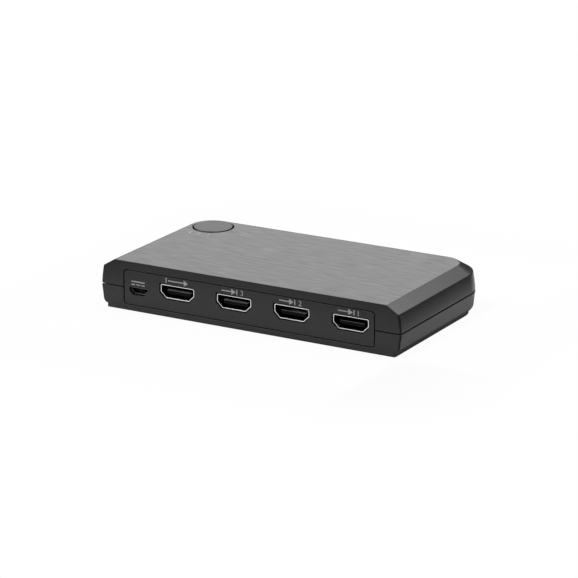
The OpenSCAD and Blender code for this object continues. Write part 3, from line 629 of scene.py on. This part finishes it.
def bow(height):
    """Radius of the far corners on the leaning upper wall."""
    climbed = (height - seam_h) / (ridge_h - seam_h)
    return corner_r - ridge_in * (lean * climbed + belly * climbed ** 2)


climb = np.linspace(upper_h + bevel + bead_h, ridge_h, 9)
profile = [(bow(climb[0]) - bead_in - bevel, upper_h), (bow(climb[0]) - bead_in, upper_h + bevel),
           *[(bow(h), h) for h in climb], (edge_r, body_h), (edge_r - past, body_h)]
ridge_i = len(climb) + 1
profile = eased(profile, {1: bead_low_r, 2: bead_high_r, ridge_i: ridge_edge, ridge_i + 1: plate_edge})[:-1]
edge_steps = [body_h - d for d, g in front_edge] + [upper_h + d for d, g in seam_round]
heights = np.unique(np.round(np.concatenate([profile[:, 1], edge_steps]), 3))


def front_at(height):
    """Where the socket side is at a height, rounded back at its two edges."""
    from_top = np.interp(body_h - height, [d for d, g in front_edge], [g for d, g in front_edge])
    from_low = np.interp(height - upper_h, [d for d, g in seam_round], [g for d, g in seam_round])
    return front_y + max(from_top, from_low)


radii = np.interp(heights, profile[:, 1], profile[:, 0])
rings = [plan_ring(h, r, front_at(h)) for h, r in zip(heights, radii)]
upper = make_object("upper_case", loft(rings))
rebate_r, rebate_h = lip_r + lip_t + lip_gap, seam_h + lip_h + lip_gap
hollow = [(upper_h - past, rebate_r), (rebate_h, rebate_r), (rebate_h, lip_r),
          (bend_h, lip_r - bend_in), (roof_h, edge_r - roof_in)]
combine(upper, [loft([plan_ring(h, r, front_y + wall) for h, r in hollow]), window(),
                plan_solid(recess_r, front_y + front_rim, body_h - plate_t - film_t, body_h + past)])

# %% Add its posts and collar and cut the round holes
light_pitch, light_hole_r, light_h = 12.5, 1.35, 13.0
collar_gap, collar_t, collar_h, key_w = 1.2, 1.2, 1.72, 2.0
pilot_r, liner_drop = screw_r + 0.02, 0.03
collar_r, collar_low = hole_r + collar_gap, roof_h - collar_h
collar_out = collar_r + collar_t

posts = [rod(post_r, board_top, roof_h + overlap, p) for p in screws]
collar = rod(collar_out, collar_low, roof_h + overlap, button_at, 64)
liner = rod(liner_r, roof_h + overlap, body_h - liner_drop, button_at, 96)
combine(upper, [*posts, collar, liner], "UNION")

key_slot = block((button_at[0], button_at[1] - key_w / 2, collar_low - past),
                 (button_at[0] + collar_out + past, button_at[1] + key_w / 2, roof_h))
collar_bore = rod(collar_r, collar_low - past, roof_h, button_at, 64)
button_hole = rod(hole_r, collar_low - past, body_h, button_at, 96)
pilots = [rod(pilot_r, board_top - past, screw_seat + screw_len + past, p) for p in screws]
light_holes = []
for i in (-1, 0, 1):
    ring = arc((i * light_pitch, light_h), light_hole_r, 0, 360, 16)[:-1]
    light_holes.append(loft([behind_face(ring, y - front_y)
                             for y in (corner_y, corner_y + corner_r + past)]))
combine(upper, [collar_bore, key_slot, button_hole, *pilots, *light_holes])
dress(upper, case_finish, "case_plastic", "top_shell")

# %% [markdown]
# ## Top plate and button
# The plate is thin brushed metal glued into a shallow recess. Its lines run along the width of the box.
# The button carries a disc of the same metal, in a round hole that the upper shell lines with a thin
# wall, so a dark ring is left round it. Plate and disc are flat, with a small rounded edge that shows as
# a fine line of light.

# %% Make the plate and the disc
plate_round, disc_round = 0.08, 0.18
plate_hole = liner_r + 0.01
plate_front = front_y + front_rim + plate_gap
edge = round_over(plate_round)
plate = make_object("brushed_plate", loft(
    [plan_ring(body_h - plate_t, recess_r - plate_gap, plate_front)]
    + [plan_ring(body_h - d, recess_r - plate_gap - g, plate_front + g) for d, g in reversed(edge)]))
combine(plate, [lathe([(plate_hole, body_h - plate_t - past)]
                      + [(plate_hole + g, body_h - d) for d, g in reversed(edge)]
                      + [(plate_hole + plate_round, body_h + past)], button_at)])
dress(plate, plate_finish, "brushed_plate", "top_plate")

disc_r = (disc_high[0] - disc_low[0]) / 2
disc_top = disc_high[2] - base_z
disc_side = [(disc_r - g, disc_top - d) for d, g in reversed(round_over(disc_round))]
disc = make_object("button_cap", lathe([(disc_r, disc_low[2] - base_z), *disc_side], button_at))
dress(disc, disc_finish, "brushed_plate", "button_disc", body="button")

# %% [markdown]
# ## The fascia
# The fascia is a separate moulding that shows through a window across both shells, with a dark groove
# round it. It has one opening for each socket. The openings follow the sockets' outline with a little
# room, so the outline is written once, as corner points, and offset for each use. Two sets of sizes, for
# the video sockets and for the power socket, serve this step and the next three. Heights in them start
# from the socket's underside and depths from the socket face.

# %% Sizes of the sockets
contact_t = 0.15
video = SimpleNamespace(
    corners=[(-5.1, 0), (5.1, 0), (6.9, 1.825), (7.45, 2.1),
             (7.45, 5.3), (-7.45, 5.3), (-7.45, 2.1), (-6.9, 1.825)],
    low=board_top + 0.58, room=0.40, room_soft=0.5, plating=plated_finish,
    wall=0.32, soft=0.5, front=0.5, back=12.0, block_front=8.4, block_back=13.2, block_soft=0.3,
    tongue_half=5.3, tongue_low=1.45, tongue_high=3.1, tongue_front=1.6, nose=0.3,
    contact_front=2.2, pitch=1.0, slot_half=5.0, rows=[(10, 3.1), (9, 1.45 - contact_t)])
power = SimpleNamespace(
    corners=[(-2.3, 0), (2.3, 0), (3.7, 1.4), (3.7, 2.5), (-3.7, 2.5), (-3.7, 1.4)],
    low=board_top, room=0.3, room_soft=0.45, plating=dull_finish,
    wall=0.25, soft=0.4, front=1.2, back=6.2, block_front=4.6, block_back=6.2, block_soft=0.15,
    tongue_half=1.85, tongue_low=1.2, tongue_high=1.8, tongue_front=1.8, nose=0.1,
    contact_front=2.1, pitch=0.65, slot_half=1.6, rows=[(5, 1.2 - contact_t)])
sockets = {"1": (43.9, video), "2": (18.9, video), "3": (-6.1, video), "out": (-31.1, video),
           "power": (-48.5, power)}


def node_of(part, name):
    """The name of the solid that a part of a socket replaces."""
    return "power_" + part if name == "power" else f"video_{part}_{name}"


print("sockets:", list(sockets))

# %% Socket outlines
opening_round = 0.06


def grown(corners, by):
    """A closed outline, each of whose sides is moved outwards."""
    corners = np.asarray(corners, float)
    side = np.roll(corners, -1, axis=0) - corners
    out = np.column_stack([side[:, 1], -side[:, 0]]) / np.linalg.norm(side, axis=1)[:, None]
    before = np.roll(out, 1, axis=0)
    return corners + by * (before + out) / (1 + np.sum(before * out, axis=1))[:, None]


def outline_ring(x, s, by, soft, depth):
    """A socket's outline with eased corners, moved outwards, at a depth behind the socket face."""
    points = grown(s.corners, by)
    closed = np.concatenate([points[-1:], points, points[:1]])
    xz = eased(closed, {i: soft for i in range(1, len(points) + 1)}, 3)[1:-1]
    return behind_face(xz + (x, s.low), depth)


def opening(x, s):
    """A cut for one socket, flared to leave a slightly rounded edge on the fascia."""
    flare = [(s.room + g, panel_set + d) for d, g in round_over(opening_round, 2)]
    path = [(s.room + opening_round, -past), *flare, (s.room, 2 * wall)]
    return loft([outline_ring(x, s, by, s.room_soft, d) for by, d in path])


# %% Make the fascia
panel_t, panel_side, panel_round, panel_drop = 1.6, 1.4, 0.15, 0.12
ear_gap, ear_t, ear_w = 0.1, 1.0, 1.6
ear_front, ear_out = wall + ear_gap, panel_gap + ear_w
ear_box = (panel_box[0] - ear_out, floor_t, panel_box[2] + ear_out, roof_h - ear_gap)
fascia_box = (panel_box[0], panel_low - panel_drop, panel_box[2], panel_high)
rings = [face_ring(panel_set + d, fascia_box, panel_r, -g) for d, g in round_over(panel_round)]
rings += [face_ring(ear_front, fascia_box, panel_r), face_ring(ear_front, ear_box, panel_r),
          face_ring(ear_front + ear_t, ear_box, panel_r)]
panel = make_object("fascia", loft(rings))
pocket = [face_ring(d, panel_box, panel_r, -panel_side)
          for d in (panel_set + panel_t, ear_front + ear_t + past)]
combine(panel, [loft(pocket), *[opening(x, s) for x, s in sockets.values()]])
dress(panel, panel_finish, "panel_plastic", "port_panel")

# %% [markdown]
# ## Socket shells
# A socket's shell is bent from plated sheet. The cut edge of the sheet is the rim that shows as one
# bright line, flat with softened edges. A shell is a tube: rings run along the inside to the mouth,
# round the rim, back along the outside, and the last ring meets the first. Four legs of each video
# socket go down through the board.

# %% Make the socket shells
leg_w, leg_half_t, leg_depths, leg_top, leg_out = 1.3, 0.17, (5.7, 10.1), 2.2, 0.8


def rimmed_tube(x, s):
    """A tube along a socket's outline; the rim at its mouth is flat with softened edges."""
    edge = round_over(s.wall / 6, 3)
    rim = [(g - s.wall, s.front + d) for d, g in reversed(edge)] + [(-g, s.front + d) for d, g in edge]
    path = [(-s.wall, s.back), *rim, (0, s.back)]
    return loft([outline_ring(x, s, by, s.soft + by / 2, d) for by, d in path], ends=False)


def legs(x, s):
    """Two legs on each side of a socket."""
    side = s.corners[3][0] - s.wall / 2
    return [block((u - leg_half_t, front_y + d - leg_w / 2, board_low - leg_out),
                  (u + leg_half_t, front_y + d + leg_w / 2, s.low + leg_top))
            for u in (x - side, x + side) for d in leg_depths]


for name, (x, s) in sockets.items():
    shell = make_object("socket_shell_" + name, rimmed_tube(x, s))
    if s is video:
        combine(shell, legs(x, s), "UNION")
    dress(shell, s.plating, "socket_metal", node_of("shell", name))

# %% [markdown]
# ## Insulators
# Inside each shell sits a black moulding: a block that closes the back and a tongue that carries the
# contacts. The tongue's nose is rounded so that a plug finds its way on. That edge is the only thing
# that shows in a video socket's dark mouth, as a thin paler line, and that line is a painted highlight
# in the tongue's colour. It depends only on the height, so a ramp on the Z of the Object coordinates
# places it. Slots let the contacts through the block.

# %% Make the insulators
fit, insulator_gap, tongue_soft, root = 0.02, 0.18, 0.1, 0.5
heel_half, heel_h = 5.1, 2.45
# The paler band on the tongue's nose is a painted highlight.
painted_highlight_from, painted_highlight_full, painted_highlight_shade = 0.34, 0.16, (0.14, 0.14, 0.14)


def tongue(x, s):
    """A flat bar towards the mouth with a rounded nose."""
    box = (x - s.tongue_half, s.low + s.tongue_low, x + s.tongue_half, s.low + s.tongue_high)
    radius = tongue_soft + s.nose
    rings = [face_ring(s.tongue_front + d, box, radius, -g) for d, g in round_over(s.nose, 5)]
    return loft(rings + [face_ring(s.block_front + root, box, radius)])


def slot(x, s, low):
    """A cut through the block for one row of contacts."""
    return block((x - s.slot_half, front_y + s.block_front - fit, s.low + low - fit),
                 (x + s.slot_half, front_y + s.block_back + past, s.low + low + contact_t + fit))


def painted_highlight_band(material, low, high, shade):
    """A painted highlight: a paler shade set in on a finish between two heights."""
    tree = material.node_tree
    shader = tree.nodes["Principled BSDF"]
    plain = shader.inputs["Base Color"].links[0].from_socket
    place = put(tree, "ShaderNodeTexCoord", {}).outputs["Object"]
    height = put(tree, "ShaderNodeSeparateXYZ", {0: place}).outputs["Z"]
    ramp = put(tree, "ShaderNodeMapRange", {"Value": height, "From Min": low * MM, "From Max": high * MM})
    mixed = put(tree, "ShaderNodeMix", {0: ramp.outputs[0], 6: plain, 7: (*shade, 1)}, data_type="RGBA")
    wire(tree, shader, Base_Color=mixed.outputs[2])
    return material


nose_top = base_z + video.low + video.tongue_high
tongue_finish = painted_highlight_band(plastic("tongue_matt", (0.006, 0.006, 0.006), 0.5, **matt),
                        nose_top - painted_highlight_from, nose_top - painted_highlight_full, painted_highlight_shade)
for name, (x, s) in sockets.items():
    rings = [outline_ring(x, s, -s.wall - insulator_gap, s.block_soft, d)
             for d in (s.block_front, s.block_back)]
    body = make_object("insulator_" + name, loft(rings))
    joins = [tongue(x, s)]
    if s is video:
        joins.append(block((x - heel_half, front_y + s.back + fit, board_top),
                           (x + heel_half, front_y + s.block_back, board_top + heel_h)))
    combine(body, joins, "UNION")
    combine(body, [slot(x, s, low) for count, low in s.rows])
    finish = tongue_finish if s is video else insulator_finish
    dress(body, finish, "insulator", node_of("insulator", name))

# %% [markdown]
# ## Contacts
# Each contact is a strip of thin metal: it lies on the tongue, runs back through the block and bends
# down to the board. All contacts of a row are alike and evenly spaced, which is what Geometry Nodes is
# good at. The base mesh is only the path of one strip. The tree makes it a curve, rounds its bends,
# sweeps a rectangle along it and repeats it; its inputs are the sizes, so one tree makes every row.


# %% A tree that makes a row of bent strips
def place_and_finish(tree, given, result, points, shape):
    """The end of a tree: copies of a shape at points, made real, with a material."""
    copies = put(tree, "GeometryNodeInstanceOnPoints", {"Points": points, "Instance": shape}).outputs[0]
    real = put(tree, "GeometryNodeRealizeInstances", {"Geometry": copies}).outputs[0]
    ready = put(tree, "GeometryNodeSetMaterial", {"Geometry": real, "Material": given["Material"]})
    tree.links.new(ready.outputs[0], result["Geometry"])


strip_row, given, result = node_group(
    "strip_row", "GeometryNodeTree",
    {"Geometry": "Geometry", "Count": "Int", "Pitch": "Float", "Width": "Float",
     "Thickness": "Float", "Bend": "Float", "Material": "Material"}, {"Geometry": "Geometry"})
tree = strip_row
path = put(tree, "GeometryNodeMeshToCurve", {"Mesh": given["Geometry"]}).outputs[0]
bent = put(tree, "GeometryNodeFilletCurve",
           {"Curve": path, "Count": 4, "Radius": given["Bend"]}, mode="POLY").outputs[0]
section = put(tree, "GeometryNodeCurvePrimitiveQuadrilateral",
              {"Width": given["Width"], "Height": given["Thickness"]}, mode="RECTANGLE")
strip = put(tree, "GeometryNodeCurveToMesh",
            {"Curve": bent, "Profile Curve": section.outputs[0], "Fill Caps": True}).outputs[0]
span = calc(tree, "MULTIPLY", calc(tree, "SUBTRACT", given["Count"], 1.0), given["Pitch"])
first = put(tree, "ShaderNodeCombineXYZ", {"X": calc(tree, "MULTIPLY", span, -0.5)}).outputs[0]
step = put(tree, "ShaderNodeCombineXYZ", {"X": given["Pitch"]}).outputs[0]
row = put(tree, "GeometryNodeMeshLine",
          {"Count": given["Count"], "Start Location": first, "Offset": step}, mode="OFFSET").outputs[0]
place_and_finish(tree, given, result, row, strip)


def run_tree(obj, tree, **values):
    """Run a geometry tree on an object and keep the plain mesh it makes; lengths are in millimetres."""
    modifier = obj.modifiers.new(tree.name, "NODES")
    modifier.node_group = tree
    for socket in tree.interface.items_tree:
        if socket.in_out == "INPUT" and socket.name.replace(" ", "_") in values:
            value = values[socket.name.replace(" ", "_")]
            modifier[socket.identifier] = value * MM if isinstance(value, float) else value
    settle(obj)
    return obj


# %% Contact helpers
tail = 0.8


def path_object(points):
    """An object that holds only a path."""
    mesh = bpy.data.meshes.new("path")
    mesh.from_pydata((np.array(points) * MM).tolist(), [(i, i + 1) for i in range(len(points) - 1)], [])
    return add_object("path", mesh)


def contact_path(x, s, low):
    """Along the tongue, down behind the block and out over the board."""
    down = front_y + s.block_back + fit + contact_t / 2
    high, foot = [base_z + z + contact_t / 2 for z in (s.low + low, board_top)]
    return [(x, front_y + s.contact_front, high), (x, down, high), (x, down, foot),
            (x, down + tail - contact_t / 2, foot)]


def joined(name, pieces):
    """One object from several plain ones."""
    shell = bmesh.new()
    for piece in pieces:
        shell.from_mesh(piece.data)
        bpy.data.objects.remove(piece)
    mesh = bpy.data.meshes.new(name)
    bmesh.ops.recalc_face_normals(shell, faces=shell.faces)
    shell.to_mesh(mesh)
    shell.free()
    return add_object(name, mesh)


# %% Make the contacts
strip_size = {"Width": 0.34, "Thickness": contact_t, "Bend": 0.15, "Material": gold_finish}
for name, (x, s) in sockets.items():
    pieces = [run_tree(path_object(contact_path(x, s, low)), strip_row,
                       Count=count, Pitch=s.pitch, **strip_size) for count, low in s.rows]
    dress(joined("contacts_" + name, pieces), gold_finish, "contact", node_of("contacts", name))

# %% [markdown]
# ## Screws and feet
# Four screws hold the shells together and four rubber feet keep the box from sliding. Each is made once,
# at the origin, and a second small tree sets copies at the two near and the two far places.

# %% A tree that sets four copies
four_places, given, result = node_group(
    "four_places", "GeometryNodeTree",
    {"Geometry": "Geometry", "Near X": "Float", "Near Y": "Float", "Far X": "Float",
     "Far Y": "Float", "Material": "Material"}, {"Geometry": "Geometry"})
tree = four_places
index = put(tree, "GeometryNodeInputIndex", {}).outputs[0]
far = calc(tree, "GREATER_THAN", index, 1.5)
odd = calc(tree, "MODULO", index, 2.0)
side = calc(tree, "SUBTRACT", calc(tree, "MULTIPLY", odd, 2.0), 1.0)
x = calc(tree, "MULTIPLY", side, between(tree, far, given["Near X"], given["Far X"]))
y = between(tree, far, given["Near Y"], given["Far Y"])
spot = put(tree, "ShaderNodeCombineXYZ", {"X": x, "Y": y}).outputs[0]
row = put(tree, "GeometryNodeMeshLine", {"Count": 4}, mode="OFFSET").outputs[0]
points = put(tree, "GeometryNodeSetPosition", {"Geometry": row, "Position": spot}).outputs[0]
place_and_finish(tree, given, result, points, given["Geometry"])


def set_four(obj, near, far, material):
    """Set copies of an object at its two near and two far places."""
    run_tree(obj, four_places, Near_X=near[0], Near_Y=near[1], Far_X=far[0], Far_Y=far[1],
             Material=material)


# %% Make the screws and the feet
head_h, head_round, tip_h, tip_r = 1.5, 0.3, 0.6, 0.5
cross_long, cross_wide, cross_deep, foot_round = 1.15, 0.3, 0.9, 0.4
head_low, screw_top = screw_seat - head_h, screw_seat + screw_len
head = [(screw_head_r - g, head_low + d) for d, g in round_over(head_round)]
shaft = [(screw_head_r, screw_seat), (screw_r, screw_seat), (screw_r, screw_top - tip_h), (tip_r, screw_top)]
screw = make_object("case_screw_set", lathe(head + shaft, (0, 0), 40))
combine(screw, [block((-a, -b, head_low - past), (a, b, head_low + cross_deep))
                for a, b in ((cross_long, cross_wide), (cross_wide, cross_long))])
set_four(screw, near_screw, far_screw, screw_finish)
dress(screw, screw_finish, "screw", "case_screws")

foot_side = [(foot_r - g, d - base_z) for d, g in round_over(foot_round, 6)]
foot = make_object("foot_set", lathe(foot_side + [(foot_r, foot_recess)], (0, 0), 64))
set_four(foot, near_foot, far_foot, rubber_finish)
dress(foot, rubber_finish, "rubber", "rubber_feet")

# %% [markdown]
# ## Printed marks
# The fascia carries printed marks over the sockets. These are plain signs: an arrow and a number for
# each way in, an arrow for the way out, and a line over dashes for direct current. The plate has the
# three numbers that the button steps through, which read from the far side. Print has almost no height,
# so each mark is a very thin solid, drawn flat first and put on the box afterwards.

# %% Mark helpers
ink_t = 0.015
into_head, head_slope = 0.05, 0.62


def flat(points):
    """A thin solid from a flat outline."""
    points = np.asarray(points, float)
    return loft([np.column_stack([points, np.full(len(points), h)]) for h in (0, ink_t)])


def bar(u0, v0, u1, v1):
    """A printed rectangle."""
    return flat([(u0, v0), (u1, v0), (u1, v1), (u0, v1)])


def arrow(u0, u1, middle, stroke, head):
    """A printed arrow: its shaft and its head."""
    shaft = bar(u0, middle - stroke / 2, u1 - head + into_head, middle + stroke / 2)
    half = head * head_slope
    return [shaft, flat([(u1 - head, middle - half), (u1, middle), (u1 - head, middle + half)])]


def number(text, left, height):
    """A printed number with its lower left corner at a place, drawn with the built-in font."""
    curve = bpy.data.curves.new("number", "FONT")
    curve.body = text
    obj = add_object("number", curve)
    shell = bmesh.new()
    shell.from_mesh(plain_mesh(obj))
    bmesh.ops.remove_doubles(shell, verts=shell.verts, dist=1e-5)
    raised = bmesh.ops.extrude_face_region(shell, geom=shell.faces[:])["geom"]
    raised = [v for v in raised if isinstance(v, bmesh.types.BMVert)]
    bmesh.ops.translate(shell, verts=raised, vec=(0, 0, 1))
    points = np.array([v.co for v in shell.verts])
    faces = [tuple(v.index for v in f.verts) for f in shell.faces]
    shell.free()
    bpy.data.objects.remove(obj)
    low, high = points.min(0), points.max(0)
    scale = height / (high[1] - low[1])
    return (points - low) * [scale, scale, ink_t] + [left, 0, 0], faces


def print_marks(name, shapes, corner, right, up, ink, slot):
    """Put flat shapes on the box: a corner in millimetres and the directions of right and up."""
    right, up = np.array(right, float), np.array(up, float)
    axes = np.array([right, up, np.cross(right, up)])
    pieces = [make_object("mark", (points @ axes + corner, faces)) for points, faces in shapes]
    dress(joined(name, pieces), ink, slot)


# %% Print the marks
face_at = front_y + panel_set
on_fascia = ((1, 0, 0), (0, 0, 1), ink_finish, "panel_plastic")
on_plate = ((-1, 0, 0), (0, -1, 0), pale_finish, "brushed_plate")
mark_low, mark_h, stroke, arrow_head = base_z + 13.4, 2.1, 0.42, 1.9
in_arrow, in_bar, in_number = (-5.2, 1.0), (1.3, 0, 1.72, mark_h), 3.1
out_arrow, out_bar = (-3.9, 5.0), (-5.0, 0, -4.58, mark_h)
power_mark_low, power_line = base_z + 10.4, (-3.0, 1.2, 3.0, 1.65)
dash_w, dash_h, dash_starts = 1.6, 0.45, (-3.0, -0.8, 1.4)
for name, (x, s) in sockets.items():
    low = power_mark_low if s is power else mark_low
    if s is power:
        shapes = [bar(*power_line), *[bar(u, 0, u + dash_w, dash_h) for u in dash_starts]]
    elif name == "out":
        shapes = [bar(*out_bar), *arrow(*out_arrow, mark_h / 2, stroke, arrow_head)]
    else:
        shapes = [*arrow(*in_arrow, mark_h / 2, stroke, arrow_head), bar(*in_bar),
                  number(name, in_number, mark_h)]
    print_marks("mark_" + name, shapes, (x, face_at, low), *on_fascia)

numbers_at, number_first, number_pitch, number_h = (-44.0, 10.9, top_z), 0.9, 3.9, 2.0
shapes = [number(str(i + 1), number_first + number_pitch * i, number_h) for i in range(3)]
print_marks("mark_button", shapes, numbers_at, *on_plate)

# %% [markdown]
# ## The rest of the solids
# What is left are the button under its disc and the parts inside the case. Their solids are right, so
# they stay, and each takes a finish that suits its slot in the record.

# %% Finishes for the other solids
others = {
    "insulator": insulator_finish,
    "button_plastic": button_finish,
    "film": plastic("adhesive_film", (0.6, 0.56, 0.48), 0.5, grain=0.4),
    "board": plastic("solder_mask", (0.010, 0.085, 0.035), 0.3, grain=0.3),
    "tinned": metal("tin_plate", (0.62, 0.62, 0.61), 0.3, length=1.0),
    "chip": plastic("moulding_compound", (0.016, 0.016, 0.017), 0.55, grain=0.1),
    "can": metal("drawn_can", (0.60, 0.61, 0.62), 0.3, length=0.3, width=2.0),
    "ceramic": plastic("fired_ceramic", (0.36, 0.24, 0.12), 0.5),
    "resistor": plastic("glaze", (0.02, 0.02, 0.022), 0.25),
    "ferrite": plastic("sintered_ferrite", (0.06, 0.06, 0.065), 0.5),
    "light": plastic("phosphor_resin", (0.85, 0.82, 0.62), 0.3),
    "guide": plastic("clear_moulding", (0.42, 0.44, 0.45), 0.15, grain=0.5, depth=0.0005),
}
slots = {part["node"]: part["material_slot"] for part in frame["record"]["subparts"]}
for name, node in frame["nodes"].items():
    finish = others.get(slots[name])
    if finish:
        node.data.materials.clear()
        node.data.materials.append(finish)
print("finishes in all:", len(bpy.data.materials))
